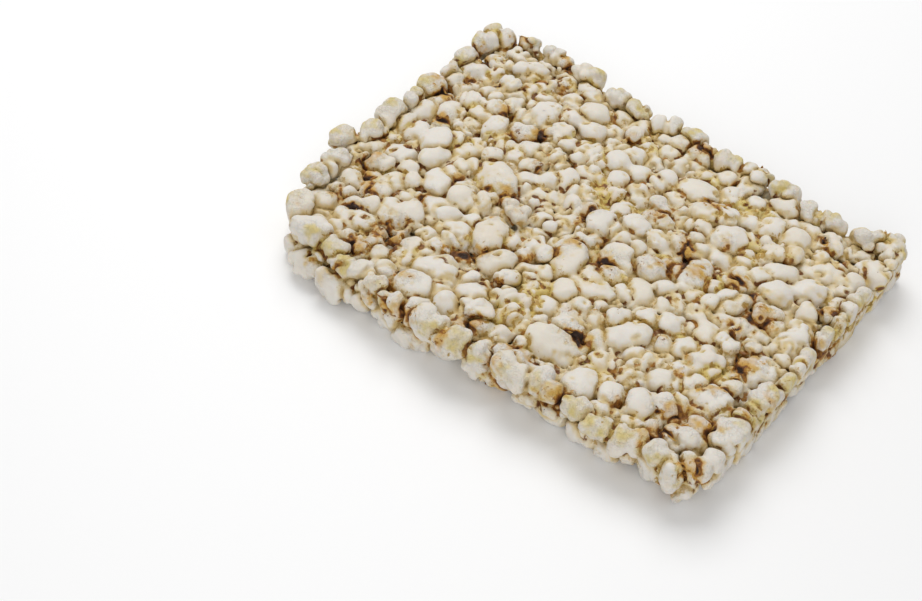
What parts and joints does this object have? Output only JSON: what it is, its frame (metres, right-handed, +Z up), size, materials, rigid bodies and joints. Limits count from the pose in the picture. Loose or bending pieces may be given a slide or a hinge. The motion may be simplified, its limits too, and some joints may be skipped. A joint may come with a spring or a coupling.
{
  "type": "puffed rice cake",
  "caption": "Thin rectangular cake of popped rice kernels fused into one light block, with a raised knobbly rim and a face pressed flat enough to rest on.",
  "frame": {"origin": "centre of the box, on the plane the cake rests on", "axes": "+Z up through the thickness, +X along the long side, the side with the cut corner at -X and -Y"},
  "size_m": [0.09, 0.072, 0.0088],
  "materials": {
    "puffed_rice": "matte"
  },
  "bodies": {
    "root": {"puffed_rice_cake": "puffed_rice"}
  },
  "joints": []
}
